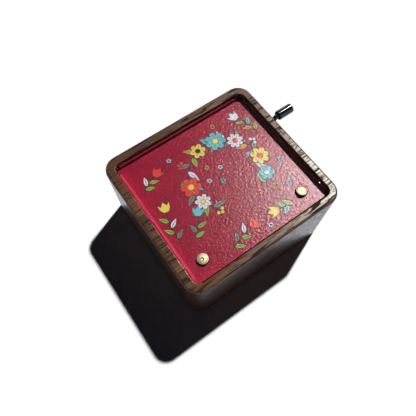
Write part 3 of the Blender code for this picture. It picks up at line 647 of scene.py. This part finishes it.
WREATH_CENTRE = (4.5, 1.5)
WREATH_RADIUS = 14.5
WREATH_FROM, WREATH_TO = -58, 218  # degrees round from +X
WREATH_LEAVES = ("green", "grey", "white", "green", "teal", "grey", "ochre")
WREATH_LEAF = (5.0, 2.1)
WREATH_BLOOMS = (
    # colour, heart, degrees round, radius, petals, turn
    ("teal", "yellow", 72, 4.0, 7, 0.0),
    ("yellow", "outline", 104, 3.1, 6, 0.3),
    ("white", "orange", 42, 3.2, 8, 0.2),
    ("orange", "yellow", 168, 3.9, 6, 0.1),
    ("white", "yellow", 197, 3.0, 7, 0.4),
    ("yellow", "orange", -4, 3.6, 7, 0.2),
    ("teal", "white", -34, 3.0, 6, 0.0),
)
WREATH_BERRIES = (
    # colour, degrees round, distance outside the ring, heading in degrees
    ("orange", WREATH_FROM, 0.0, -150),
    ("yellow", WREATH_TO, 0.0, -70),
    ("orange", 134, 1.2, 138),
    ("white", 20, 1.0, 15),
)


def wreath_point(degrees, outside=0.0):
    angle = math.radians(degrees)
    radius = WREATH_RADIUS + outside
    return WREATH_CENTRE[0] + radius * math.cos(angle), WREATH_CENTRE[1] + radius * math.sin(angle)


def draw_wreath():
    """A ring of leaves and flowers, open at one side."""
    stem = [
        wreath_point(degrees, 0.35 * math.sin(math.radians(degrees * 5)))
        for degrees in range(WREATH_FROM, WREATH_TO + 1, 6)
    ]
    stroke("outline", stem, WREATH_STEM)
    length, width = WREATH_LEAF
    for i, degrees in enumerate(range(WREATH_FROM + 8, WREATH_TO - 3, 12)):
        side = 1 if i % 2 else -1
        angle = math.radians(degrees + 90) - side * math.radians(52)
        name = WREATH_LEAVES[i % len(WREATH_LEAVES)]
        leaf(name, *wreath_point(degrees), length + 0.8 * math.sin(i * 2.1), width, angle)
    for name, heart, degrees, size, petals, turn in WREATH_BLOOMS:
        flower(name, heart, *wreath_point(degrees), size, petals, turn, 3)
    for name, degrees, outside, heading in WREATH_BERRIES:
        berries(name, *wreath_point(degrees, outside), math.radians(heading))


SPRIGS = (
    # root, heading in degrees, length, blossom, leaves, bend
    (-24.6, -11.5, 80, 15.0, "yellow", ("grey", "green", "white", "green"), 1.6),
    (-20.5, -13.5, 50, 11.5, "teal", ("green", "grey", "green"), -1.2),
    (-25.0, 12.5, 26, 9.5, "orange", ("green", "white", "green"), 1.0),
    (25.2, 8.5, 108, 12.5, "white", ("green", "ochre", "teal", "green"), -1.2),
    (-12.0, -23.6, 16, 13.0, "orange", ("green", "grey", "green", "white"), 1.2),
    (17.0, -22.6, 165, 8.5, "yellow", ("green", "teal", "green"), -0.8),
)
SPRIG_LEAF = (3.9, 1.7)
SPRIG_BLOSSOM = 4.4


def draw_sprig(x, y, degrees, length, blossom, leaves, bend):
    """A stalk with leaves on both sides and a blossom at its end."""
    angle = math.radians(degrees)
    heading = Vector((math.cos(angle), math.sin(angle)))
    side = Vector((-heading.y, heading.x))
    start = Vector((x, y))
    end = start + heading * length
    middle = start + heading * length / 2 + side * bend
    path = curve(tuple(start), tuple(middle), tuple(end))
    stroke("outline", path, STALK)
    for i, name in enumerate(leaves):
        lean = math.radians(48 if i % 2 else -48)
        leaf(name, *path[2 + i * 2], *SPRIG_LEAF, angle + lean)
    tulip(blossom, *path[-1], SPRIG_BLOSSOM, angle, 3)


SPOTS = 54
SPOTS_LEFT, SPOTS_RIGHT = -25.8, 25.2
SPOTS_FRONT, SPOTS_BACK = -24.4, 24.0
SPOT_TO_STUD, SPOT_TO_INK, SPOT_TO_SPOT = 4.4, 1.7, 2.9
SMALL_FLOWERS = ("white", "ochre", "teal")  # every fifth spot is one of these


def scatter_spots():
    """Dark specks and small flowers over the bare ground."""
    taken = [
        point for outlines in shapes.values() for outline, _ in outlines for point in outline
    ]
    rng = random.Random(11)
    spots = []
    while len(spots) < SPOTS:
        x, y = rng.uniform(SPOTS_LEFT, SPOTS_RIGHT), rng.uniform(SPOTS_FRONT, SPOTS_BACK)
        if math.hypot(abs(x) - STUD_X, y - STUD_Y) < SPOT_TO_STUD:
            continue
        if any(math.hypot(x - u, y - v) < SPOT_TO_INK for u, v in taken):
            continue
        if any(math.hypot(x - u, y - v) < SPOT_TO_SPOT for u, v in spots):
            continue
        spots.append((x, y))
    for i, (x, y) in enumerate(spots):
        if i % 5 == 0:
            name = SMALL_FLOWERS[i // 5 % len(SMALL_FLOWERS)]
            flower(name, "outline", x, y, 0.95, 5, i * 0.7, 2)
        else:
            ink("outline", ring(x, y, rng.uniform(0.22, 0.48), 8, 0.1, i), 0)


LIT_LEFT = 1.16
LIT_FRONT = 0.45
LIT_FROM_CORNER = 2.6


def oblong(left, front, right, back):
    return [(left, front), (right, front), (right, back), (left, back)]


def draw_lit_edges():
    """Painted light: paler crimson lines on the card beside the sheet's left and front sides, for
    the light that these sides throw.
    """
    low, high = (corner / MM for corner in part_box("acrylic_sheet"))
    side = oblong(low.x, low.y + LIT_FROM_CORNER, low.x + LIT_LEFT, high.y - LIT_FROM_CORNER)
    ink("painted_light_crimson", side, BELOW_PRINT)
    front = oblong(low.x + LIT_FROM_CORNER, low.y, high.x - LIT_FROM_CORNER, low.y + LIT_FRONT)
    ink("painted_light_crimson", front, BELOW_PRINT)


def build_print(name, outlines):
    """One mesh of all shapes in one ink."""
    edit = bmesh.new()
    for outline, level in outlines:
        z = CARD_TOP + LAYER * (level + 1)
        face = edit.faces.new([edit.verts.new((x * MM, y * MM, z)) for x, y in outline])
        face.normal_update()
        if face.normal.z < 0:
            face.normal_flip()
    bmesh.ops.triangulate(edit, faces=edit.faces)
    mesh = bpy.data.meshes.new("print_" + name)
    edit.to_mesh(mesh)
    edit.free()
    add_piece("print_" + name, mesh, "case", make_ink(name, INKS[name]))


draw_wreath()
for sprig in SPRIGS:
    draw_sprig(*sprig)
scatter_spots()
draw_lit_edges()
for name, outlines in shapes.items():
    build_print(name, outlines)


# Stage, lamps, world and camera. To the eye the floor and the backdrop are white. Mirrors see
# them a little cooler, and they throw little light back, so that the shadow is deep.
FLOOR_TO_EYES = [(0.3, (0.93, 0.93, 0.93, 1)), (0.7, (0.95, 0.95, 0.95, 1))]
FLOOR_TO_MATT = (0.26, 0.27, 0.3, 1)
FLOOR_TO_MIRRORS = (0.84, 0.86, 0.95, 1)
WORLD_TO_EYES = (1.0, 1.0, 1.0, 1)
WORLD_TO_MATT = (0.5, 0.62, 1.0, 1)
WORLD_TO_MIRRORS = (0.9, 0.92, 1.0, 1)
FILL_STRENGTH = 0.032
WALL_TOP, ROOF_FROM = 0.42, 0.62  # how steeply a ray looks up, as a sine
ROOF_STRENGTH = 0.06

SUN_ANGLE = math.radians(2.0)
SUNS = (
    # name, energy, direction towards it, whether it lights all but the card or the card alone
    ("key", 4.1, (0.531, 0.207, 0.822), "EXCLUDE"),
    ("key_through_sheet", 3.75, (0.41, 0.159, 0.898), "INCLUDE"),
)

EYE = Vector((-0.04293, -0.05326, 0.16560))
TARGET = Vector((-0.00655, -0.00167, 0.0195))
CAMERA_ROLL = math.radians(-0.2389)


def make_floor():
    mesh = bpy.data.meshes.new("floor")
    edit = bmesh.new()
    bmesh.ops.create_grid(edit, x_segments=8, y_segments=8, size=3.0)
    edit.to_mesh(mesh)
    edit.free()
    floor = bpy.data.objects.new("floor", mesh)
    bpy.context.scene.collection.objects.link(floor)
    material, tree, shader = start_material("floor_paper", Roughness=0.9, Specular_IOR_Level=0.0)
    path = shade(tree, "LightPath")
    colour = ramp(tree, noise(tree, (9, 9, 9)), FLOOR_TO_EYES)
    colour = blend_colours(tree, path.outputs["Is Diffuse Ray"], colour, FLOOR_TO_MATT)
    colour = blend_colours(tree, path.outputs["Is Glossy Ray"], colour, FLOOR_TO_MIRRORS)
    finish_with(tree, shader, Base_Color=colour)
    mesh.materials.append(material)


def make_lamps():
    """The sun, and for the card alone the same sun as the clear sheet bends it."""
    card = [frame["nodes"]["printed_card"]]
    card += [bpy.data.objects["print_" + name] for name in shapes]
    for name, energy, aim, state in SUNS:
        sun = bpy.data.lights.new(name, "SUN")
        sun.energy = energy
        sun.angle = SUN_ANGLE
        lamp = bpy.data.objects.new(name, sun)
        bpy.context.scene.collection.objects.link(lamp)
        lamp.rotation_euler = Vector(aim).to_track_quat("Z", "Y").to_euler()
        lit = bpy.data.collections.new(name + "_on_card")
        lamp.light_linking.receiver_collection = lit
        for piece in card:
            lit.objects.link(piece)
        for item in lit.collection_objects:
            item.light_linking.link_state = state


def make_world():
    """A pale backdrop all round, dimmer overhead; only eyes and mirrors see it bright."""
    world = bpy.data.worlds.new("studio")
    world.use_nodes = True
    bpy.context.scene.world = world
    tree = world.node_tree
    path = shade(tree, "LightPath")
    seen = sums(tree, "MAXIMUM", path.outputs["Is Camera Ray"], path.outputs["Is Glossy Ray"])
    seen = sums(tree, "MAXIMUM", seen, path.outputs["Is Transmission Ray"])
    up = part_of(tree, shade(tree, "TexCoord").outputs["Generated"], 2)
    wall = shade(tree, "MapRange", {0: up, 1: WALL_TOP, 2: ROOF_FROM, 3: 1.0, 4: ROOF_STRENGTH},
                 interpolation_type="SMOOTHSTEP").outputs[0]
    strength = sums(tree, "MULTIPLY", wall, spread(tree, seen, 0.0, 1.0, FILL_STRENGTH, 1.0))
    colour = blend_colours(tree, seen, WORLD_TO_MATT, WORLD_TO_EYES)
    colour = blend_colours(tree, path.outputs["Is Glossy Ray"], colour, WORLD_TO_MIRRORS)
    finish_with(tree, tree.nodes["Background"], Color=colour, Strength=strength)


def make_camera():
    camera = bpy.data.cameras.new("camera")
    camera.lens = 35.57
    camera.sensor_width = 36.0
    camera.clip_start = 0.005
    made = bpy.data.objects.new("camera", camera)
    bpy.context.scene.collection.objects.link(made)
    back = (EYE - TARGET).normalized()
    right = Vector((0, 0, 1)).cross(back).normalized()
    up = back.cross(right)
    turn = Matrix((right, up, back)).transposed().to_4x4() @ Matrix.Rotation(CAMERA_ROLL, 4, "Z")
    made.matrix_world = Matrix.Translation(EYE) @ turn
    bpy.context.scene.camera = made


make_floor()
make_lamps()
make_world()
make_camera()
bpy.context.scene.view_settings.view_transform = "Standard"
